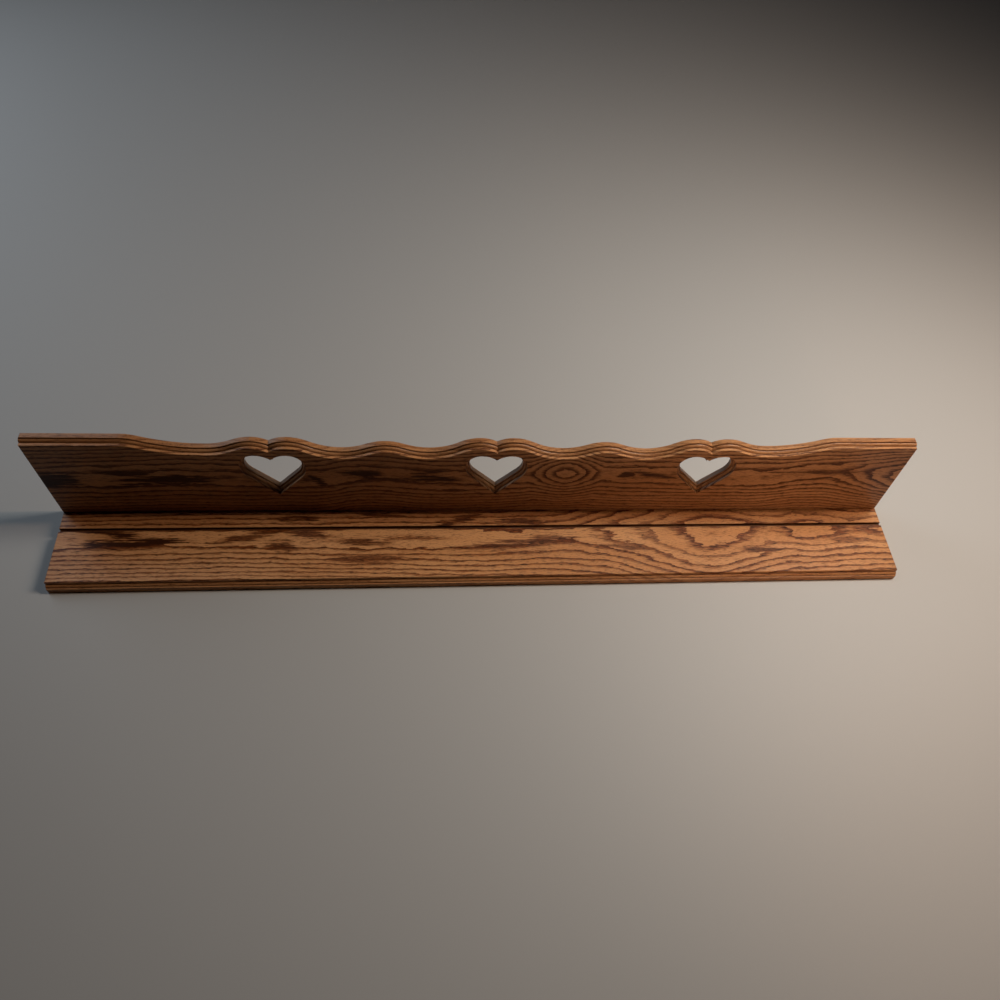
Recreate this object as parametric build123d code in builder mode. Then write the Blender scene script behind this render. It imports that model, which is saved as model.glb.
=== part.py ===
from build123d import *
import os
from math import atan2, cos, radians, sin, sqrt, tan

# Plate shelf in stained oak. A back board with a scalloped, moulded top edge and
# three heart cut-outs stands behind a shelf board with a plate groove and the same
# moulding along its front. Screws driven from behind join the two boards, and two
# keyhole plates let into the back hang the shelf on wall screws.
# Millimetres. X runs along the shelf, Y towards the wall, Z up. The origin lies
# under the middle of the shelf, on the surface that it stands on.

# Boards
width = 1371.6
back_height = 177.8
back_thickness = 19.05
shelf_depth = 139.7
shelf_thickness = 19.05
edge_ease = 1.0
top_corner_radius = 3.0

# Moulding, one section for the scalloped edge, the hearts and the shelf's front
face_step = 5.6
bead_radius = 4.0
edge_step = 2.35
moulding_ease = 0.5
cut_margin = 3.0

# Plate groove
groove_setback = 34.9
groove_width = 6.35
groove_depth = 4.8
groove_ease = 0.6

# Scalloped edge: distances along X from the nearest heart, and drops below the ends
heart_spacing = 342.9
lobe_offset = 25.5
inner_valley_offset = 105.0
outer_valley_offset = 94.0
shoulder_offset = 208.0
lobe_drop = 5.0
notch_drop = 12.2
crest_drop = 12.5
inner_valley_drop = 26.5
outer_valley_drop = 19.8
lobe_share = 0.40
crest_share = 0.42
shoulder_share = 0.20

# Heart cut-outs
heart_width = 85.0
heart_height = 73.5
heart_top_drop = 33.2
heart_lobe_offset = 23.5
heart_flank_radius = 29.0
cleft_depth = 13.0

# Joint screws, through the back board into the rear edge of the shelf
joint_screw_count = 5
joint_screw_inset = 70.0
joint_screw_length = 41.3
joint_screw_diameter = 4.2
joint_screw_head = 8.4
joint_screw_point = 6.0

# Keyhole plates and their screws
plate_gap = 21.0
plate_drop = 59.0
plate_length = 45.0
plate_width = 16.0
plate_thickness = 2.0
plate_screw_span = 34.0
entry_diameter = 9.5
entry_drop = 4.5
slot_width = 4.8
slot_length = 11.5
head_room = 6.0
cavity_clearance = 1.0
hanger_screw_length = 12.7
hanger_screw_diameter = 2.8
hanger_screw_head = 5.6
hanger_screw_point = 3.5

# Fits
screw_head_angle = 82.0
screw_clearance = 0.1
point_clearance = 0.5
plate_clearance = 0.2

# Planes and places that follow from the sizes
total_depth = shelf_depth + back_thickness
nose_y = -total_depth / 2
back_face_y = nose_y + shelf_depth
rear_y = total_depth / 2
front_plane = Plane.XZ.offset(-back_face_y)
rear_plane = Plane(origin=(0, rear_y, 0), x_dir=(-1, 0, 0), z_dir=(0, 1, 0))
joint_plane = rear_plane.offset(-back_thickness)
nose_plane = Plane(
    origin=(width / 2, nose_y, shelf_thickness), x_dir=(0, 1, 0), z_dir=(-1, 0, 0)
)

moulding_width = edge_step + bead_radius
moulding_depth = face_step + bead_radius
face_edge = moulding_width + moulding_ease
wall_edge = moulding_depth + moulding_ease

end_z = back_height
lobe_z = end_z - lobe_drop
notch_z = end_z - notch_drop
crest_z = end_z - crest_drop
inner_valley_z = end_z - inner_valley_drop
outer_valley_z = end_z - outer_valley_drop
shoulder = (heart_spacing + shoulder_offset, end_z)

heart_centres = (-heart_spacing, 0, heart_spacing)
heart_top_z = end_z - heart_top_drop
heart_tip_z = heart_top_z - heart_height
cleft_z = heart_top_z - cleft_depth

plate_x = heart_spacing + heart_width / 2 + plate_gap
plate_z = end_z - plate_drop
slot_rise = slot_length / 2 - entry_drop
joint_screw_z = shelf_thickness / 2
joint_screw_pitch = (width - 2 * joint_screw_inset) / (joint_screw_count - 1)


def level_arc_radius(run, rise):
    """Radius of an arc that is level at one end and climbs or falls by rise over run."""
    return (run**2 + rise**2) / (2 * abs(rise))


def ogee(start, end, start_share):
    """Draws an S-curve, level at both ends, whose first arc takes start_share of it."""
    run, rise = end[0] - start[0], end[1] - start[1]
    middle = (start[0] + start_share * run, start[1] + start_share * rise)
    radius = level_arc_radius(run, rise)
    crown = 1 if rise < 0 else -1
    RadiusArc(start, middle, crown * start_share * radius)
    RadiusArc(middle, end, -crown * (1 - start_share) * radius)


# Each lobe beside a notch is one arc, which the moulding cutter follows past the notch
lobe_radius = level_arc_radius(lobe_offset, notch_z - lobe_z)
notch_overrun = lobe_offset * face_edge / (lobe_radius - face_edge) + moulding_ease
tip_overrun = face_edge + moulding_ease


def lobe_end(notch_x, side, overrun):
    """Point where the lobe on one side of a notch ends, overrun past the notch."""
    run = lobe_offset + overrun
    fall = lobe_radius - sqrt(lobe_radius**2 - run**2)
    return (notch_x - side * overrun, lobe_z - fall)


def inner_scallop(overrun=0.0):
    """Draws the edge from the middle notch, over a small crest, to the outer notch."""
    first_lobe = (lobe_offset, lobe_z)
    first_valley = (inner_valley_offset, inner_valley_z)
    crest = (heart_spacing / 2, crest_z)
    second_valley = (heart_spacing - inner_valley_offset, inner_valley_z)
    second_lobe = (heart_spacing - lobe_offset, lobe_z)
    RadiusArc(lobe_end(0, 1, overrun), first_lobe, lobe_radius)
    ogee(first_lobe, first_valley, lobe_share)
    ogee(first_valley, crest, 1 - crest_share)
    ogee(crest, second_valley, crest_share)
    ogee(second_valley, second_lobe, 1 - lobe_share)
    RadiusArc(second_lobe, lobe_end(heart_spacing, -1, overrun), lobe_radius)


def outer_scallop(overrun=0.0):
    """Draws the edge from the outer notch to the level stretch at the end."""
    lobe = (heart_spacing + lobe_offset, lobe_z)
    valley = (heart_spacing + outer_valley_offset, outer_valley_z)
    RadiusArc(lobe_end(heart_spacing, 1, overrun), lobe, lobe_radius)
    ogee(lobe, valley, lobe_share)
    ogee(valley, shoulder, 1 - shoulder_share)


def heart_half(overrun=0.0):
    """Draws the right half of a heart, from its tip round to its cleft."""
    side_radius = heart_width / 2 - heart_lobe_offset
    side = (heart_width / 2, heart_top_z - side_radius)
    lobe_top = (heart_lobe_offset, heart_top_z)
    # The flank is a straight line from the tip that touches the arc below the side
    run, rise = side[0] - heart_flank_radius, side[1] - heart_tip_z
    flank_length = sqrt(run**2 + rise**2 - heart_flank_radius**2)
    slope = atan2(rise, run) - atan2(heart_flank_radius, flank_length)
    flank_end = (flank_length * cos(slope), heart_tip_z + flank_length * sin(slope))
    Line((-overrun, heart_tip_z - overrun * tan(slope)), flank_end)
    RadiusArc(flank_end, side, -heart_flank_radius)
    RadiusArc(side, lobe_top, -side_radius)
    RadiusArc(lobe_top, (0, cleft_z), -level_arc_radius(heart_lobe_offset, cleft_depth))


# What the cutters take away: X runs in from the edge, Y back from the face
with BuildSketch() as moulding_section:
    with BuildLine():
        Polyline(
            (face_edge, -cut_margin),
            (face_edge, 0),
            (moulding_width, moulding_ease),
            (moulding_width, face_step),
        )
        CenterArc((moulding_width, moulding_depth), bead_radius, 180, 90)
        Polyline(
            (edge_step, moulding_depth),
            (moulding_ease, moulding_depth),
            (0, wall_edge),
            (-cut_margin, wall_edge),
            (-cut_margin, -cut_margin),
            (face_edge, -cut_margin),
        )
    make_face()

with BuildSketch() as rear_ease_section:
    with BuildLine():
        Polyline(
            (0, back_thickness - edge_ease),
            (edge_ease, back_thickness),
            (edge_ease, back_thickness + cut_margin),
            (-cut_margin, back_thickness + cut_margin),
            (-cut_margin, back_thickness - edge_ease),
            close=True,
        )
    make_face()

with BuildSketch() as groove_section:
    lip = groove_width / 2 + groove_ease
    with BuildLine():
        Polyline((0, groove_depth), (0, -cut_margin), (lip, -cut_margin), (lip, 0))
        RadiusArc((lip, 0), (groove_width / 2, groove_ease), groove_ease)
        Polyline((groove_width / 2, groove_ease), (groove_width / 2, groove_depth), (0, groove_depth))
    make_face()
    mirror(about=Plane.YZ)


def section_plane(path):
    """Plane square to the start of a path, with X into the wood and Y back from the face."""
    along = path % 0
    return Plane(origin=path @ 0, x_dir=Vector(0, 1, 0).cross(along), z_dir=along)


# Moulding cutters, each trimmed where it meets the next one in a notch or a heart's point
with BuildPart() as inner_run:
    with BuildLine(front_plane) as path:
        inner_scallop(notch_overrun)
    with BuildSketch(section_plane(path.wires()[0])):
        add(moulding_section.sketch)
        add(rear_ease_section.sketch)
    sweep()
    split(bisect_by=Plane.YZ, keep=Keep.TOP)
    split(bisect_by=Plane.YZ.offset(heart_spacing), keep=Keep.BOTTOM)

with BuildPart() as outer_run:
    with BuildLine(front_plane) as path:
        outer_scallop(notch_overrun)
        Line(shoulder, (width / 2 + cut_margin, end_z))
    with BuildSketch(section_plane(path.wires()[0])):
        add(moulding_section.sketch)
        add(rear_ease_section.sketch)
    sweep()
    split(bisect_by=Plane.YZ.offset(heart_spacing), keep=Keep.TOP)

with BuildPart() as heart_run:
    with BuildLine(front_plane) as path:
        heart_half(tip_overrun)
    with BuildSketch(section_plane(path.wires()[0])):
        add(moulding_section.sketch)
        add(rear_ease_section.sketch)
    sweep()
    split(bisect_by=Plane.YZ, keep=Keep.TOP)
    mirror(about=Plane.YZ)

with BuildSketch() as heart:
    with BuildLine():
        heart_half()
        Line((0, cleft_z), (0, heart_tip_z))
    make_face()
    mirror(about=Plane.YZ)


def screw_outline(length, diameter, head, point):
    """Corners of half a flat-head screw, along -Y from the middle of its head."""
    head_height = (head - diameter) / 2 / tan(radians(screw_head_angle / 2))
    return (
        (0, 0),
        (head / 2, 0),
        (diameter / 2, -head_height),
        (diameter / 2, point - length),
        (0, -length),
    )


joint_screw_outline = screw_outline(
    joint_screw_length, joint_screw_diameter, joint_screw_head, joint_screw_point
)
hanger_screw_outline = screw_outline(
    hanger_screw_length, hanger_screw_diameter, hanger_screw_head, hanger_screw_point
)
plate_places = {"left": (plate_x, plate_z), "right": (-plate_x, plate_z)}
hanger_screw_places = [
    (x, z + end * plate_screw_span / 2) for x, z in plate_places.values() for end in (-1, 1)
]
joint_screw_places = [
    ((i - (joint_screw_count - 1) / 2) * joint_screw_pitch, joint_screw_z)
    for i in range(joint_screw_count)
]

# Back board
with BuildPart() as back_board:
    with BuildSketch(front_plane) as outline:
        with BuildLine():
            inner_scallop()
            outer_scallop()
            Polyline(shoulder, (width / 2, end_z), (width / 2, 0), (0, 0), (0, notch_z))
        make_face()
        mirror(about=Plane.YZ)
        top_corners = outline.vertices().group_by(Axis.Y)[-1].sort_by(Axis.X)
        fillet([top_corners[0], top_corners[-1]], top_corner_radius)
        with Locations(*[(x, 0) for x in heart_centres]):
            add(heart.sketch, mode=Mode.SUBTRACT)
    extrude(amount=-back_thickness)
    fillet(back_board.edges().filter_by(Axis.Z), edge_ease)
    for run in (inner_run, outer_run):
        add(run.part, mode=Mode.SUBTRACT)
        mirror(run.part, about=Plane.YZ, mode=Mode.SUBTRACT)
    with Locations(*[(x, 0, 0) for x in heart_centres]):
        add(heart_run.part, mode=Mode.SUBTRACT)
    # Pockets that the keyhole plates are let into, with room behind for a screw head
    with BuildSketch(rear_plane):
        with Locations(*plate_places.values()):
            SlotOverall(
                plate_length + 2 * plate_clearance,
                plate_width + 2 * plate_clearance,
                rotation=90,
            )
    extrude(amount=-plate_thickness, mode=Mode.SUBTRACT)
    with BuildSketch(rear_plane):
        with Locations(*[(x, z + slot_rise) for x, z in plate_places.values()]):
            SlotCenterToCenter(slot_length, entry_diameter + 2 * cavity_clearance, rotation=90)
    extrude(amount=-plate_thickness - head_room, mode=Mode.SUBTRACT)
    with Locations(rear_plane):
        with Locations(*hanger_screw_places):
            Hole(
                hanger_screw_diameter / 2 + screw_clearance,
                depth=hanger_screw_length + point_clearance,
            )
        with Locations(*joint_screw_places):
            CounterSinkHole(
                joint_screw_diameter / 2 + screw_clearance,
                joint_screw_head / 2 + screw_clearance,
                counter_sink_angle=screw_head_angle,
            )

# Shelf board
with BuildPart() as shelf_board:
    with BuildSketch(Plane.YZ.offset(-width / 2)):
        with Locations(((nose_y + back_face_y) / 2, shelf_thickness / 2)):
            Rectangle(shelf_depth, shelf_thickness)
    extrude(amount=width)
    nose_foot = shelf_board.edges().filter_by(Axis.X).group_by(Axis.Y)[0].sort_by(Axis.Z)[0]
    ends = shelf_board.edges().group_by(Axis.X)
    fillet([nose_foot] + ends[0].sort_by(Axis.Y)[:-1] + ends[-1].sort_by(Axis.Y)[:-1], edge_ease)
    with BuildSketch(nose_plane):
        add(moulding_section.sketch)
        with Locations((shelf_depth - groove_setback, 0)):
            add(groove_section.sketch)
    extrude(amount=width, mode=Mode.SUBTRACT)
    with Locations(joint_plane):
        with Locations(*joint_screw_places):
            Hole(
                joint_screw_diameter / 2 + screw_clearance,
                depth=joint_screw_length - back_thickness + point_clearance,
            )

# Screws
with BuildPart() as joint_screw:
    with BuildSketch():
        with BuildLine():
            Polyline(*joint_screw_outline, close=True)
        make_face()
    revolve(axis=Axis.Y)

with BuildPart() as hanger_screw:
    with BuildSketch():
        with BuildLine():
            Polyline(*hanger_screw_outline, close=True)
        make_face()
    revolve(axis=Axis.Y)

with BuildPart() as joint_screws:
    with Locations(*[(x, rear_y, z) for x, z in joint_screw_places]):
        add(joint_screw.part)

with BuildPart() as hanger_screws:
    with Locations(*[(x, rear_y, z) for x, z in hanger_screw_places]):
        add(hanger_screw.part)

pieces = {
    "back_board": back_board,
    "shelf_board": shelf_board,
    "joint_screws": joint_screws,
    "hanger_screws": hanger_screws,
}

# Keyhole plates
for side, (x, z) in plate_places.items():
    with BuildPart() as keyhole_plate:
        with BuildSketch(rear_plane):
            with Locations((x, z)):
                SlotOverall(plate_length, plate_width, rotation=90)
            with Locations((x, z - entry_drop)):
                Circle(entry_diameter / 2, mode=Mode.SUBTRACT)
            with Locations((x, z + slot_rise)):
                SlotCenterToCenter(slot_length, slot_width, rotation=90, mode=Mode.SUBTRACT)
        extrude(amount=-plate_thickness)
        with Locations(rear_plane):
            with Locations((x, z - plate_screw_span / 2), (x, z + plate_screw_span / 2)):
                CounterSinkHole(
                    hanger_screw_diameter / 2 + screw_clearance,
                    hanger_screw_head / 2 + screw_clearance,
                    depth=plate_thickness,
                    counter_sink_angle=screw_head_angle,
                )
    pieces[f"keyhole_plate_{side}"] = keyhole_plate

os.makedirs("parts", exist_ok=True)
for name, piece in pieces.items():
    piece.part.label = name
    export_step(piece.part, f"parts/{name}.step")
    print(name, len(piece.part.solids()), round(piece.part.volume), piece.part.is_valid)
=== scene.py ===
# %% [markdown]
# # A plate shelf in stained oak
# The shelf is two boards: a back board with a scalloped, moulded top edge and three
# heart cut-outs, and a shelf board with a groove that keeps plates from sliding off.
# Its shapes come from a solid model that is loaded as a fixed frame, and this lesson
# gives it its finish: oak with the grain of two real boards, zinc plates and screws.

# %% Load the solid model
from math import pi, radians, tan

import bmesh
import bpy
from bmesh.types import BMEdge, BMVert
from mathutils import Matrix, Vector


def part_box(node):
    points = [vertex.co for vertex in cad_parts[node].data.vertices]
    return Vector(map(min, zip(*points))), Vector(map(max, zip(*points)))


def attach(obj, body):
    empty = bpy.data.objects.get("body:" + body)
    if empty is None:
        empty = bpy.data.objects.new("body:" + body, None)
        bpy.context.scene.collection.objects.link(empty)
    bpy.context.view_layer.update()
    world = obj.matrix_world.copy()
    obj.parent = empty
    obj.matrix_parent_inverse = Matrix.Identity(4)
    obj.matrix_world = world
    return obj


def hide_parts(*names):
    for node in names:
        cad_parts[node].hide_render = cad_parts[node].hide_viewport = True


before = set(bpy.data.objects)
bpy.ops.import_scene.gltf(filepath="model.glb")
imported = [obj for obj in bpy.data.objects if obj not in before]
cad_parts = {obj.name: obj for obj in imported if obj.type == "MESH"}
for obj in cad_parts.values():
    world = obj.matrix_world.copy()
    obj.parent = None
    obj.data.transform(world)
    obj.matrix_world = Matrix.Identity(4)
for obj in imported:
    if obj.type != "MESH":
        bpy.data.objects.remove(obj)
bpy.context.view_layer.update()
print("loaded", sorted(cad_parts))

# %% [markdown]
# ## The camera
# The photograph looks down on the shelf from a standing person's eye, a little left of
# the middle, turned to the right and rolled. Its place was worked out from the straight
# edges of both boards. A camera can be aimed with a constraint, but three plain turns,
# heading, tilt and roll, say more clearly how it is held.

# %% Camera
FRAME_PIXELS = 1000
FOCAL_PIXELS = 783.5
CENTRE_PIXEL = (540, 625)
SENSOR_MM = 36
EYE = Vector((-0.0849, -0.7769, 1.0692))
HEADING, TILT, ROLL = radians(-13.405), radians(30.846), radians(10.239)

camera_data = bpy.data.cameras.new("camera")
camera_data.sensor_width = SENSOR_MM
camera_data.lens = SENSOR_MM * FOCAL_PIXELS / FRAME_PIXELS
camera_data.shift_x = 0.5 - CENTRE_PIXEL[0] / FRAME_PIXELS
camera_data.shift_y = CENTRE_PIXEL[1] / FRAME_PIXELS - 0.5
camera = bpy.data.objects.new("camera", camera_data)
aim = Matrix.Rotation(HEADING, 4, "Z") @ Matrix.Rotation(TILT, 4, "X")
camera.matrix_world = Matrix.Translation(EYE) @ aim @ Matrix.Rotation(ROLL, 4, "Z")
bpy.context.scene.collection.objects.link(camera)
bpy.context.scene.camera = camera
print("camera lens", round(camera_data.lens, 2), "mm")

# %% [markdown]
# ## Shader sums
# A material is a tree of nodes. Sums written as nodes are hard to read, so one small
# class wraps a socket: adding, multiplying or dividing wrapped sockets adds the Math
# nodes, and one method adds any other node by its type, settings and inputs.

# %% A socket that can be used in sums
class Wire:
    """An output socket of a node tree that takes part in arithmetic."""

    def __init__(self, socket):
        self.socket = socket
        self.tree = socket.id_data

    def node(self, kind, settings=None, inputs=None, output=0):
        """Adds a node, applies its settings, fills its inputs and wraps one output."""
        made = self.tree.nodes.new("ShaderNode" + kind)
        for name, value in (settings or {}).items():
            if name == "points":
                fill_curve(made.mapping, value)
            else:
                setattr(made, name, value)
        for name, value in (inputs or {}).items():
            if isinstance(value, Wire):
                self.tree.links.new(value.socket, made.inputs[name])
            else:
                made.inputs[name].default_value = value
        return Wire(made.outputs[output])

    def math(self, operation, *others):
        """Applies a Math node to this value and any others."""
        return self.node("Math", {"operation": operation}, dict(enumerate((self, *others))))

    def __add__(self, other):
        return self.math("ADD", other)

    def __sub__(self, other):
        return self.math("SUBTRACT", other)

    def __rsub__(self, other):
        return self.node("Math", {"operation": "SUBTRACT"}, {0: other, 1: self})

    def __mul__(self, other):
        return self.math("MULTIPLY", other)

    def __truediv__(self, other):
        return self.math("DIVIDE", other)

    __radd__ = __add__
    __rmul__ = __mul__


def fill_curve(mapping, points):
    """Puts a curve node's points where they are asked for."""
    curve = mapping.curves[0]
    mapping.use_clip = False
    while len(curve.points) < len(points):
        curve.points.new(0.5, 0.5)
    for point, place in zip(curve.points, points):
        point.location = place
    mapping.update()


# %% Starting and ending a material
def new_material(name):
    """Makes an empty material and gives the Object coordinates to paint it by."""
    material = bpy.data.materials.new(name)
    material.use_nodes = True
    tree = material.node_tree
    tree.nodes.clear()
    place = Wire(tree.nodes.new("ShaderNodeTexCoord").outputs["Object"])
    return material, place


def finish_material(material, place, inputs):
    """Ends a material with one Principled shader."""
    shader = place.node("BsdfPrincipled", None, inputs)
    output = material.node_tree.nodes.new("ShaderNodeOutputMaterial")
    material.node_tree.links.new(shader.socket, output.inputs["Surface"])
    return material


# %% Noise, mixing and masks
# A Mix node has sockets for numbers, vectors and colours in one row. These are the
# places of the factor, the two colours and the mixed colour.
MIX_FACTOR, MIX_FIRST, MIX_SECOND, MIX_RESULT = 0, 6, 7, 2


def noise(place, stretch, detail):
    """Noise whose grains measure about 1/stretch metres along X, Y and Z."""
    spread = place.node("VectorMath", {"operation": "MULTIPLY"}, {0: place, 1: stretch})
    return place.node("TexNoise", None, {"Vector": spread, "Scale": 1.0, "Detail": detail})


def blend(factor, first, second):
    """Mixes two colours by a factor."""
    inputs = {MIX_FACTOR: factor, MIX_FIRST: first, MIX_SECOND: second}
    return factor.node("Mix", {"data_type": "RGBA"}, inputs, MIX_RESULT)


def ramp(value, start, end):
    """Runs smoothly from 0 to 1 while the value runs from start to end."""
    ends = {"Value": value, "From Min": start, "From Max": end}
    return value.node("MapRange", {"interpolation_type": "SMOOTHSTEP"}, ends)


def within(value, low, high):
    """Gives 1 where the value lies between two limits and 0 elsewhere."""
    return value.math("GREATER_THAN", low) * value.math("LESS_THAN", high)


# %% [markdown]
# ## Growth rings
# A growth ring is a thin cone round the tree's pith, so a sawn face shows the rings as
# lines, and where the saw nearly follows a ring, as long arches and eyes. A flat noise
# gives none of that. Here each point of a board counts the rings between itself and a
# pith that runs behind the face and wanders. Three curves along each board say how wide
# a ring is, how many rings deep the pith lies and how high it stands. Rounded cones, the
# swellings, draw the rings into eyes and points, and flames are the dark streaks where
# the saw ran along one band of pores for a while.

# %% Sizes of the boards
SHELF_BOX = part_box("shelf_board")
BACK_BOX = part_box("back_board")
WIDTH = SHELF_BOX[1].x - SHELF_BOX[0].x
SHELF_TOP = SHELF_BOX[1].z
BACK_FACE = BACK_BOX[0].y
BACK_REAR = BACK_BOX[1].y
print("boards", round(WIDTH, 4), "m long, shelf", round(SHELF_TOP, 4), "m thick")

# %% Grain of the back board
# Lengths are in metres. Each point of a curve is a place along the board and a value.
# A swelling has its middle along and across the face, two half sizes and the rings that
# it adds. A flame has its middle, two half sizes, its slant and its strength. The band is
# the share of a ring at which its dark part has faded out, the lines grow from calm to
# full strength between two heights, and wander is how many rings they drift.
back_figure = {
    # The back board's ground and line colours are darker than the shelf board's: painted shade for its
    # upright face, which the lamps reach less.
    "ground": ((0.54, 0.270, 0.120, 1), (0.40, 0.172, 0.064, 1)),
    "early_wood": (0.120, 0.027, 0.004, 1),
    "ring": [(-0.686, 0.0060), (0.686, 0.0060)],
    "band": 0.60,
    "rings_deep": [
        (-0.686, 7.70), (-0.600, 7.50), (-0.500, 7.60), (-0.343, 7.50), (-0.200, 7.65),
        (-0.100, 7.65), (0.0, 7.60), (0.113, 7.66), (0.200, 7.60), (0.300, 7.65),
        (0.420, 7.48), (0.550, 7.70), (0.600, 7.65), (0.686, 7.50),
    ],
    "ridge": [
        (-0.686, 0.077), (-0.600, 0.079), (-0.480, 0.083), (-0.343, 0.082),
        (-0.285, 0.080), (-0.212, 0.092), (-0.085, 0.082), (0.0, 0.085),
        (0.113, 0.093), (0.210, 0.088), (0.285, 0.088), (0.400, 0.087),
        (0.460, 0.087), (0.530, 0.096), (0.600, 0.095), (0.686, 0.088),
    ],
    "swellings": [
        (0.113, 0.093, 0.064, 0.110, -3.9), (0.745, 0.092, 0.190, 0.200, -5.0),
    ],
    "flames": [
        (-0.680, 0.077, 0.066, 0.021, 0, 1), (-0.495, 0.081, 0.094, 0.013, 0.05, 1),
        (-0.560, 0.092, 0.050, 0.008, -0.1, 0.9), (-0.560, 0.066, 0.044, 0.007, 0.2, 0.9),
        (-0.283, 0.080, 0.020, 0.013, -0.8, 1), (-0.213, 0.092, 0.044, 0.012, -0.1, 1),
        (-0.150, 0.081, 0.055, 0.005, 0, 0.8), (-0.100, 0.080, 0.072, 0.013, -0.08, 1),
        (-0.105, 0.095, 0.039, 0.008, 0.1, 0.9), (0.212, 0.088, 0.018, 0.010, 0.3, 0.9),
        (0.258, 0.090, 0.050, 0.009, -0.25, 0.9), (0.545, 0.097, 0.094, 0.009, 0.02, 0.7),
    ],
    "calm": (0.0, 0.060),
    "wander": 1.2,
}
print("back board:", len(back_figure["flames"]), "flames")

# %% Grain of the shelf board
shelf_figure = {
    "ground": ((0.58, 0.290, 0.125, 1), (0.47, 0.205, 0.076, 1)),
    "early_wood": (0.195, 0.045, 0.0065, 1),
    "ring": [
        (-0.686, 0.0064), (-0.300, 0.0068), (0.100, 0.0084), (0.360, 0.0120), (0.520, 0.0108),
        (0.686, 0.0098),
    ],
    "band": 0.52,
    "rings_deep": [
        (-0.686, 5.55), (-0.600, 5.50), (-0.300, 5.50), (-0.100, 5.55), (0.050, 5.80),
        (0.100, 6.00), (0.130, 5.85), (0.145, 5.65), (0.200, 4.85), (0.260, 4.00),
        (0.320, 2.95), (0.345, 2.50), (0.370, 2.30), (0.400, 2.45), (0.430, 2.80),
        (0.450, 3.05), (0.485, 3.25), (0.510, 3.00), (0.530, 2.65), (0.560, 2.55),
        (0.590, 2.80), (0.605, 3.00), (0.640, 3.15), (0.670, 2.95), (0.686, 2.90),
    ],
    "ridge": [
        (-0.686, 0.056), (-0.450, 0.054), (-0.200, 0.056), (0.0, 0.058),
        (0.100, 0.055), (0.200, 0.048), (0.370, 0.042), (0.545, 0.046), (0.686, 0.046),
    ],
    "swellings": [(0.352, 0.122, 0.170, 0.080, -2.6)],
    "flames": [
        (-0.570, 0.061, 0.099, 0.013, -0.05, 1.4), (-0.595, 0.044, 0.055, 0.008, 0.08, 1.3),
        (-0.402, 0.052, 0.066, 0.014, -0.25, 0.8), (-0.345, 0.070, 0.033, 0.016, 0.15, 0.8),
        (-0.303, 0.047, 0.050, 0.012, 0.15, 0.8), (-0.322, 0.016, 0.044, 0.010, 0, 1),
        (-0.210, 0.098, 0.072, 0.014, 0, 0.7), (-0.220, 0.064, 0.077, 0.008, 0.05, 0.8),
        (-0.185, 0.009, 0.050, 0.008, 0.08, 0.8), (0.040, 0.069, 0.121, 0.013, -0.1, 0.8),
        (0.082, 0.062, 0.050, 0.018, -0.1, 0.75), (-0.065, 0.023, 0.050, 0.013, -0.35, 0.9),
        (0.045, 0.024, 0.050, 0.018, 0, 0.8), (0.220, 0.080, 0.050, 0.010, 0.1, 0.7),
        (0.450, 0.086, 0.050, 0.010, 0, 0.8), (0.610, 0.070, 0.044, 0.010, 0, 0.6),
    ],
    "calm": (-0.060, 0.0),
    "wander": 1.0,
}
print("shelf board:", len(shelf_figure["flames"]), "flames")

# %% Counting the rings
# A curve node runs from 0 to 1, so each span is the value that stands for 1.
RING_SPAN = 0.02
RINGS_SPAN = 10.0
RIDGE_SPAN = 0.2
ROUND_TIP = 0.15
SOFT_RIM = 0.12


def drawn_along(x, points, span):
    """A value drawn along a board, as a smooth curve through its points."""
    share = x / WIDTH + 0.5
    curve = [(at / WIDTH + 0.5, value / span) for at, value in points]
    return x.node("FloatCurve", {"points": curve}, {"Value": share}) * span


def distance(run, rise):
    """Length of the slanted side over two sides at a right angle."""
    return (run * run + rise * rise).math("SQRT")


def count_rings(x, across, depth, figure):
    """Counts the rings between the pith and each point of a board."""
    ring = drawn_along(x, figure["ring"], RING_SPAN)
    deep = drawn_along(x, figure["rings_deep"], RINGS_SPAN) + depth / ring
    aside = (across - drawn_along(x, figure["ridge"], RIDGE_SPAN)) / ring
    count = distance(deep, aside)
    for at, height, half_length, half_height, rings in figure["swellings"]:
        reach = distance((x - at) / half_length, (across - height) / half_height)
        rise = (1 - distance(reach, ROUND_TIP)).math("MAXIMUM", 0.0)
        count = count + rings * rise * rise / (rise + SOFT_RIM)
    return count


# %% Flames
FLAME_EDGE = (0.0, 0.75)


def flames(x, across, figure, fray):
    """Marks the dark flames where the saw ran along a ring, frayed along the grain."""
    mask = 0.0
    for at, height, half_length, half_height, slant, strength in figure["flames"]:
        along = x - at
        run = along / half_length
        rise = ((across - height) - slant * along) / half_height
        body = 1 - run * run - rise.math("ABSOLUTE")
        flame = strength * ramp(body + fray, *FLAME_EDGE)
        mask = flame.math("MAXIMUM", mask)
    return mask
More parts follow.
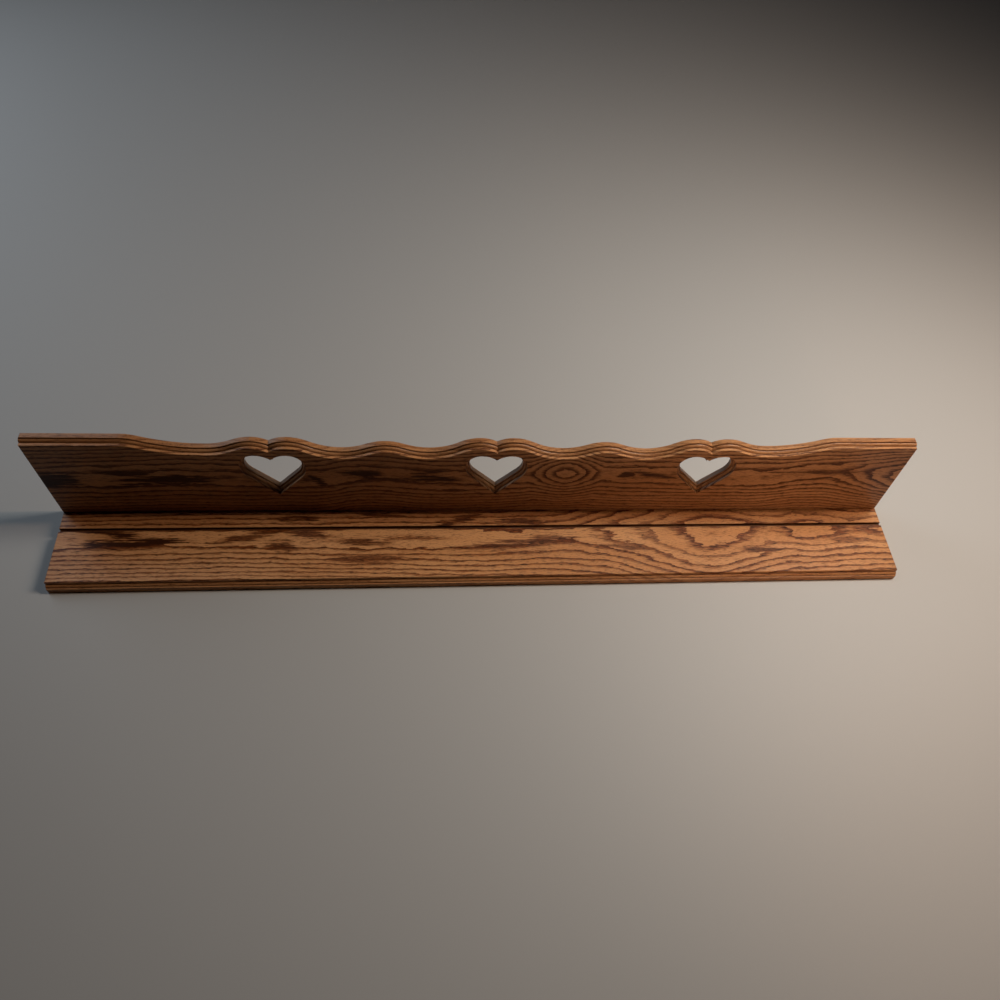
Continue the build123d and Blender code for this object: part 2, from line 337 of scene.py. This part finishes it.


# %% [markdown]
# ## Stain and varnish
# Oak starts each ring with a band of open pores. A brown stain soaks into the pores and
# leaves dark, ragged lines with one sharp edge, while the dense wood between them stays
# golden. The ring count's fraction gives the band, noise that is stretched along the
# grain frays it, and a random number for each year makes some lines strong and others
# faint. Each board has its own two ground colours and line colour; the back board's are
# darker, as painted shade for its upright face. The moulding's corners and the plate
# groove are darkened by stain that gathers there and by painted shade, and the ends drink
# more stain because their pores are cut across. The moulded sides show calmer lines, and
# the walls of the hearts are painted darker and greyer, as shade and a grey sheen. A
# picture of oak would be quicker, but it would not turn the corner from a face into its
# side, as these solid rings do.

# %% Lines of the grain
# Each noise has its grains per metre along and across the board, and its detail.
GRAIN = {
    "wander": ((5.0, 22.0, 22.0), 1.0),
    "waver": ((26.0, 90.0, 90.0), 3.0),
    "streak": ((14.0, 260.0, 260.0), 2.0),
    "fibre": ((60.0, 1200.0, 1200.0), 1.0),
    "vessel": ((110.0, 2400.0, 2400.0), 1.0),
    "tone": ((3.0, 18.0, 18.0), 2.0),
}
STREAK_SHIFT, FIBRE_SHIFT = 0.3, 0.2
BAND_SOLID, BAND_FRAY = 0.12, 0.5
FAINT_YEAR = 0.64
CALM_LINES = 0.6
WAVER_FRAY, STREAK_FRAY, FIBRE_FRAY = 1.4, 2.4, 1.2
FLAME_DEPTH = (0.003, 0.010)


def grain_lines(place, x, across, depth, figure):
    """Gives the bands of pores, the flames and the vigour of each year."""
    kinds = ("wander", "waver", "streak", "fibre")
    wander, waver, streak, fibre = (noise(place, *GRAIN[kind]) - 0.5 for kind in kinds)
    count = count_rings(x, across, depth, figure) + figure["wander"] * wander + waver
    count = count + STREAK_SHIFT * streak + FIBRE_SHIFT * fibre
    year = count.math("FLOOR")
    vigour = year.node("TexWhiteNoise", {"noise_dimensions": "1D"}, {"W": year})

    early = 1 - ramp(count.math("FRACT") + BAND_FRAY * fibre, BAND_SOLID, figure["band"])
    strength = FAINT_YEAR + (1 - FAINT_YEAR) * vigour
    calm = CALM_LINES + (1 - CALM_LINES) * ramp(across, *figure["calm"])
    fray = WAVER_FRAY * waver + STREAK_FRAY * streak + FIBRE_FRAY * fibre
    flame = flames(x, across, figure, fray) * (1 - ramp(depth, *FLAME_DEPTH))
    return early * strength * calm, flame, vigour


# %% Stain and painted shade in hollows and on cut edges
# Depths run into a board from its face, heights across the face. The stain and painted
# shade in a corner begin, are darkest and end at these places, measured from the corner.
MOULDING_CORNERS = (0.0056, 0.0096)
CORNER_STAIN_AND_SHADE = (-0.0012, -0.00024, 0.00012)
GROOVE = (0.0300, 0.0400)
GROOVE_STAIN_AND_SHADE = (0.0, 0.003)
END_MARGIN = 0.0004
SIDE_STARTS = (0.002, 0.006)
SIDE_ENDS = (0.0175, 0.0185)
HEART_WALL = (0.0101, 0.0103)
HEART_HEIGHTS = (0.040, 0.129)
HEARTS_REACH = 0.45


def stain_and_shade_in_hollows(x, across, depth, grooved):
    """Marks the corners of the moulding and the plate groove, darkened by stain and painted shade."""
    darkened_hollows = 0.0
    for corner in MOULDING_CORNERS:
        begins, darkest, ends = (corner + offset for offset in CORNER_STAIN_AND_SHADE)
        darkened_hollows = ramp(depth, begins, darkest) * (1 - ramp(depth, darkest, ends)) + darkened_hollows
    if grooved:
        darkened_hollows = darkened_hollows.math("MAXIMUM", within(across, *GROOVE) * ramp(depth, *GROOVE_STAIN_AND_SHADE))
    return darkened_hollows * x.math("ABSOLUTE").math("LESS_THAN", WIDTH / 2 - END_MARGIN)


def board_sides(depth):
    """Marks the moulded sides of a board, between its face and its rear."""
    return ramp(depth, *SIDE_STARTS) * (1 - ramp(depth, *SIDE_ENDS))


def heart_walls(x, across, depth):
    """Marks the sawn walls of the hearts, behind their moulding."""
    inside = within(across, *HEART_HEIGHTS) * x.math("ABSOLUTE").math("LESS_THAN", HEARTS_REACH)
    return inside * ramp(depth, *HEART_WALL) * (1 - ramp(depth, *SIDE_ENDS))


def end_grain(x):
    """Marks the two ends of a board, where the saw cut across the pores."""
    return x.math("ABSOLUTE").math("GREATER_THAN", WIDTH / 2 - END_MARGIN)


# %% Oak finish
# The pore colour also darkens the hollows, as stain and painted shade.
DARK_STAIN_AND_SHADE = (0.034, 0.009, 0.0025, 1)
# The heart-wall colour is painted shade with a painted grey sheen.
SHADED_HEART_WALL = (0.11, 0.075, 0.055, 1)
SIDE_CALM = 0.6
PORES_IN_BANDS = 0.16
PORE_EDGE = (0.60, 0.68)
TONE_EDGE = (0.35, 0.65)
TONE_SHARE = 0.6
DENSE_FLAME = (0.4, 1.3)
# The hollow share paints stain and shade into the corners and the groove; the heart-wall share paints
# shade and a grey sheen on the walls of the hearts.
SIDE_STAIN, HOLLOW_STAIN_AND_SHADE, HEART_WALL_SHADE_SHARE, END_STAIN = 0.2, 0.8, 0.65, 0.45
BAND_DIP = 0.4
PORE_BUMP, PORE_DEPTH = 0.3, 0.0003
SATIN, BAND_ROUGHNESS = 0.32, 0.06
VARNISH_SPECULAR = 0.2


def stained_oak(name, figure, board_axes, grooved):
    """Oak with the given figure, under brown stain and satin varnish."""
    material, place = new_material(name)
    x, y, z = (place.node("SeparateXYZ", None, {0: place}, output=axis) for axis in range(3))
    across, depth = board_axes(y, z)
    lines, flame, vigour = grain_lines(place, x, across, depth, figure)
    side = board_sides(depth)
    band = lines.math("MAXIMUM", flame) * (1 - SIDE_CALM * side)
    pores = ramp(noise(place, *GRAIN["vessel"]) + PORES_IN_BANDS * band, *PORE_EDGE)
    tone = ramp(noise(place, *GRAIN["tone"]), *TONE_EDGE)

    wood = blend(TONE_SHARE * tone + (1 - TONE_SHARE) * vigour, *figure["ground"])
    wood = blend(SIDE_STAIN * side, wood, figure["early_wood"])
    wood = blend(band, wood, figure["early_wood"])
    wood = blend(ramp(flame, *DENSE_FLAME), wood, DARK_STAIN_AND_SHADE)
    wood = blend(pores, wood, DARK_STAIN_AND_SHADE)
    # Dark stain and painted shade in the moulding's corners and the plate groove.
    wood = blend(HOLLOW_STAIN_AND_SHADE * stain_and_shade_in_hollows(x, across, depth, grooved), wood, DARK_STAIN_AND_SHADE)
    # The walls of the hearts are painted darker and greyer: painted shade inside the cut-outs and a
    # painted grey sheen.
    if not grooved:
        wood = blend(HEART_WALL_SHADE_SHARE * heart_walls(x, across, depth), wood, SHADED_HEART_WALL)
    wood = blend(END_STAIN * end_grain(x), wood, figure["early_wood"])

    relief = -BAND_DIP * band - pores
    bump = {"Strength": PORE_BUMP, "Distance": PORE_DEPTH, "Height": relief}
    return finish_material(material, place, {
        "Base Color": wood,
        "Roughness": SATIN + BAND_ROUGHNESS * band,
        "Specular IOR Level": VARNISH_SPECULAR,
        "Normal": relief.node("Bump", None, bump),
    })


# %% Oak on both boards
def back_axes(y, z):
    """Gives the height above the shelf and the depth behind the back board's face."""
    return z - SHELF_TOP, y - BACK_FACE


def shelf_axes(y, z):
    """Gives the distance in front of the back board and the depth under the shelf's top."""
    return BACK_FACE - y, SHELF_TOP - z


def finish_node(node, material):
    """Gives a node of the solid model its material."""
    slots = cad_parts[node].data.materials
    slots.clear()
    slots.append(material)
    print(node, "is finished in", material.name)


back_oak = stained_oak("stained oak, back board", back_figure, back_axes, grooved=False)
shelf_oak = stained_oak("stained oak, shelf board", shelf_figure, shelf_axes, grooved=True)
finish_node("back_board", back_oak)
finish_node("shelf_board", shelf_oak)

# %% [markdown]
# ## Zinc-plated steel
# The keyhole plates are stamped from zinc-plated sheet. New zinc is a bright blue-grey
# metal with a faint crystal pattern, and the rolling of the sheet leaves fine lines along
# it. A plain grey metal would look like plastic, so the crystals change its colour a
# little, and the rolling lines change its roughness, which breaks up the reflections.

# %% Zinc finish
CRYSTALS_PER_METRE = 450.0
LINE_DETAIL = 2.0
TARNISH = ((120.0, 120.0, 120.0), 3.0)
TARNISH_EDGE = (0.45, 0.75)
CRYSTAL_SHADE, TARNISH_SHADE = 0.35, 0.5
POLISH, LINE_ROUGHNESS, TARNISH_ROUGHNESS = 0.22, 0.25, 0.15
LINE_BUMP, LINE_DEPTH = 0.15, 0.0001
VORONOI_COLOUR = 1


def zinc(name, pale, dull, line_stretch):
    """Zinc plating between two shades, with fine lines that the stretch draws out."""
    material, place = new_material(name)
    cells = {"Vector": place, "Scale": CRYSTALS_PER_METRE}
    crystals = place.node("TexVoronoi", None, cells, VORONOI_COLOUR)
    shade = crystals.node("RGBToBW", None, {0: crystals})
    lines = noise(place, line_stretch, LINE_DETAIL)
    tarnish = ramp(noise(place, *TARNISH), *TARNISH_EDGE)
    bump = {"Strength": LINE_BUMP, "Distance": LINE_DEPTH, "Height": lines}
    return finish_material(material, place, {
        "Base Color": blend(CRYSTAL_SHADE * shade + TARNISH_SHADE * tarnish, pale, dull),
        "Metallic": 1.0,
        "Roughness": POLISH + LINE_ROUGHNESS * lines + TARNISH_ROUGHNESS * tarnish,
        "Normal": lines.node("Bump", None, bump),
    })


# %% Zinc on the keyhole plates
PALE_SHEET, DULL_SHEET = (0.70, 0.71, 0.72, 1), (0.46, 0.46, 0.45, 1)
ROLLED_UPWARDS = (2500.0, 2500.0, 60.0)
sheet_zinc = zinc("zinc-plated sheet", PALE_SHEET, DULL_SHEET, ROLLED_UPWARDS)
finish_node("keyhole_plate_left", sheet_zinc)
finish_node("keyhole_plate_right", sheet_zinc)

# %% [markdown]
# ## Wood screws
# Five screws driven from behind hold the shelf, and four small ones hold the keyhole
# plates. The solid model has them as smooth pins, and here they get what a wood screw
# has: a countersunk head with a cross recess, a plain shank and a sharp thread. A screw
# is round, so a half outline is spun about its axis, the thread is a spin that also
# climbs, and the recess is pushed into the head from a cross that is drawn on it.

# %% Parts of a wood screw
AXIS = Vector((0, 1, 0))
SPIN_STEPS = 32
THREAD_STEPS = 16
MERGE_DISTANCE = 1e-6
RECESS_TAPER = 0.55
RIDGE_SHARE = 0.3
SUNK_ROOT = 0.95


def only(kind, pieces):
    """Picks the vertices or the edges out of mixed pieces of a mesh."""
    return [piece for piece in pieces if isinstance(piece, kind)]


def spun_body(screw, outline):
    """Spins a half outline, given as radius and height, about the screw's axis."""
    rim = [screw.verts.new((radius, height, 0)) for radius, height in outline]
    edges = [screw.edges.new(pair) for pair in zip(rim, rim[1:])]
    spin = {"cent": (0, 0, 0), "axis": AXIS, "angle": 2 * pi, "steps": SPIN_STEPS}
    bmesh.ops.spin(screw, geom=rim + edges, use_merge=True, **spin)
    bmesh.ops.remove_doubles(screw, verts=screw.verts, dist=MERGE_DISTANCE)


def cross_recess(screw, arm, half_width, depth):
    """Fills the head's open rim round a cross and pushes the cross in."""
    rim = [edge for edge in screw.edges if edge.is_boundary]
    corners = []
    for quarter in range(4):
        turn = Matrix.Rotation(quarter * pi / 2, 3, AXIS)
        for x, z in ((arm, half_width), (half_width, half_width), (half_width, arm)):
            corners.append(screw.verts.new(turn @ Vector((x, 0, -z))))
    cross = [screw.edges.new(pair) for pair in zip(corners, corners[1:] + corners[:1])]
    bmesh.ops.triangle_fill(screw, edges=rim + cross, use_beauty=True, normal=AXIS)
    pushed = bmesh.ops.extrude_edge_only(screw, edges=cross)["geom"]
    low = only(BMVert, pushed)
    bmesh.ops.scale(screw, vec=(RECESS_TAPER, 1, RECESS_TAPER), verts=low)
    bmesh.ops.translate(screw, vec=AXIS * -depth, verts=low)
    bmesh.ops.contextual_create(screw, geom=only(BMEdge, pushed))


def thread(screw, radius, root, top, bottom, pitch):
    """Winds a sharp ridge round the shank, running out to nothing at both ends."""
    turns = (top - bottom) / pitch
    steps = round(turns * THREAD_STEPS)
    half = RIDGE_SHARE * pitch
    inner = SUNK_ROOT * root
    section = ((inner, top + half), (radius, top), (inner, top - half))
    ridge = [screw.verts.new((reach, height, 0)) for reach, height in section]
    start = screw.faces.new(ridge)
    wind = {"cent": (0, 0, 0), "axis": AXIS, "angle": 2 * pi * turns, "steps": steps}
    wound = bmesh.ops.spin(screw, geom=[start], dvec=AXIS * ((bottom - top) / steps), **wind)
    for end in (ridge, only(BMVert, wound["geom_last"])):
        innermost = min(end, key=lambda vert: vert.co.x ** 2 + vert.co.z ** 2)
        bmesh.ops.pointmerge(screw, verts=end, merge_co=innermost.co)


# %% A whole wood screw
HEAD_ANGLE = radians(82)
RIM_LAND = 0.0002
ROOT_SHARE = 0.72
PLAIN_SHARE = 0.35
RECESS_ARM, RECESS_WIDTH, RECESS_DEPTH = 0.30, 0.07, 0.22


def wood_screw(length, diameter, head, point, pitch):
    """A countersunk wood screw whose head lies at height 0 and whose point looks down."""
    radius = diameter / 2
    root = radius * ROOT_SHARE
    cone = RIM_LAND + (head / 2 - radius) / tan(HEAD_ANGLE / 2)
    plain = cone + PLAIN_SHARE * (length - cone)
    outline = [
        (head / 2 - RIM_LAND, 0), (head / 2, -RIM_LAND), (head / 2, -2 * RIM_LAND),
        (radius, -cone), (radius, -plain), (root, -plain - RIM_LAND),
        (root, point - length), (0, -length),
    ]
    screw = bmesh.new()
    spun_body(screw, outline)
    cross_recess(screw, RECESS_ARM * head, RECESS_WIDTH * head, RECESS_DEPTH * head)
    thread(screw, radius, root, -plain - pitch, point - length, pitch)
    bmesh.ops.recalc_face_normals(screw, faces=screw.faces)
    return screw


# %% Driving the screws
SHARP_ANGLE = radians(35)


def drive_screws(name, node, screw, places, material):
    """Puts copies of one screw in their holes, as one piece that stands for a node."""
    pattern = screw.verts[:] + screw.edges[:] + screw.faces[:]
    for place in places:
        copy = bmesh.ops.duplicate(screw, geom=pattern)["geom"]
        bmesh.ops.translate(screw, vec=place, verts=only(BMVert, copy))
    bmesh.ops.delete(screw, geom=only(BMVert, pattern), context="VERTS")
    mesh = bpy.data.meshes.new(name)
    screw.to_mesh(mesh)
    screw.free()
    piece = bpy.data.objects.new(name, mesh)
    bpy.context.scene.collection.objects.link(piece)
    mesh.set_sharp_from_angle(angle=SHARP_ANGLE)
    mesh.materials.append(material)
    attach(piece, "root")
    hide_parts(node)
    print(name, len(places), "screws,", len(mesh.polygons), "faces")


# %% Screws in place
YELLOW_PALE, YELLOW_DULL = (0.66, 0.62, 0.52, 1), (0.40, 0.37, 0.30, 1)
EVEN_GRAIN = (900.0, 900.0, 900.0)
JOINT_SCREW = {"length": 0.0413, "diameter": 0.0042, "head": 0.0084, "point": 0.006, "pitch": 0.0018}
PLATE_SCREW = {"length": 0.0127, "diameter": 0.0028, "head": 0.0056, "point": 0.0035, "pitch": 0.0012}
JOINT_INSET = 0.070
JOINT_SHARES = (-1, -0.5, 0, 0.5, 1)

screw_zinc = zinc("zinc-plated screws", YELLOW_PALE, YELLOW_DULL, EVEN_GRAIN)
joint_x = [share * (WIDTH / 2 - JOINT_INSET) for share in JOINT_SHARES]
joint_places = [(x, BACK_REAR, SHELF_TOP / 2) for x in joint_x]
drive_screws("wood_screws", "joint_screws", wood_screw(**JOINT_SCREW), joint_places, screw_zinc)

HANGER_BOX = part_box("hanger_screws")
head_radius = PLATE_SCREW["head"] / 2
hanger_reach = HANGER_BOX[1].x - head_radius
hanger_heights = (HANGER_BOX[0].z + head_radius, HANGER_BOX[1].z - head_radius)
hanger_places = [(side * hanger_reach, BACK_REAR, z) for side in (-1, 1) for z in hanger_heights]
drive_screws("plate_screws", "hanger_screws", wood_screw(**PLATE_SCREW), hanger_places, screw_zinc)

# %% [markdown]
# ## Floor and light
# The shelf stands on a plain pale floor. The main softbox hangs on the right, behind the
# plane of the back board, so that the board's face stays darker than the shelf and the
# strip of shelf at its foot lies in its shade. A narrow amber lamp hangs nearly in line
# with the board and warms that strip. A cool panel behind on the left puts a pale sheen
# on the slopes that face it, and a small lamp in front lifts the face a little. Spot
# lamps would be harder than the soft shadows that are wanted here, and light from a sky
# would fill them, so the world stays dark.

# %% Floor
FLOOR_SIZE = 12
FLOOR_COLOUR = (0.41, 0.40, 0.39, 1)
FLOOR_ROUGHNESS = 0.6

bpy.ops.mesh.primitive_plane_add(size=FLOOR_SIZE)
floor = bpy.context.object
floor.name = "floor"
floor_material, floor_place = new_material("pale floor")
matt = {"Base Color": FLOOR_COLOUR, "Roughness": FLOOR_ROUGHNESS}
floor.data.materials.append(finish_material(floor_material, floor_place, matt))
print("floor", FLOOR_SIZE, "m wide")


# %% Lights
def softbox(name, place, target, size, energy, colour, spread=180):
    """Hangs a rectangular soft light at a place and aims it; a grid narrows its spread."""
    light = bpy.data.lights.new(name, "AREA")
    light.shape = "RECTANGLE"
    light.size, light.size_y = size
    light.energy = energy
    light.color = colour
    light.spread = radians(spread)
    lamp = bpy.data.objects.new(name, light)
    lamp.location = place
    lamp.rotation_euler = (Vector(target) - Vector(place)).to_track_quat("-Z", "Y").to_euler()
    bpy.context.scene.collection.objects.link(lamp)
    print(name, "light", energy, "W")


WARM = (1.0, 1.0, 0.93)
COOL = (0.74, 0.87, 1.0)
AMBER = (1.0, 0.66, 0.44)
softbox("key", (0.90, 0.28, 1.20), target=(0.2, 0, 0), size=(0.3, 0.6), energy=12.5, colour=WARM)
softbox("edge", (1.45, 0.12, 1.35), target=(0.1, 0.05, 0), size=(0.08, 0.8), energy=11.5, colour=AMBER)
softbox("window", (-1.69, 1.41, 1.5), target=(0, 0, 1.0), size=(1.3, 2.2), energy=16.5, colour=COOL)
softbox("front", (0.7, -1.4, 0.35), target=(0.5, 0.06, 0.1), size=(0.5, 0.3), energy=0.33, colour=AMBER,
        spread=40)

world = bpy.data.worlds.new("world")
world.use_nodes = True
world.node_tree.nodes["Background"].inputs["Strength"].default_value = 0.0
bpy.context.scene.world = world
bpy.context.scene.view_settings.view_transform = "Standard"
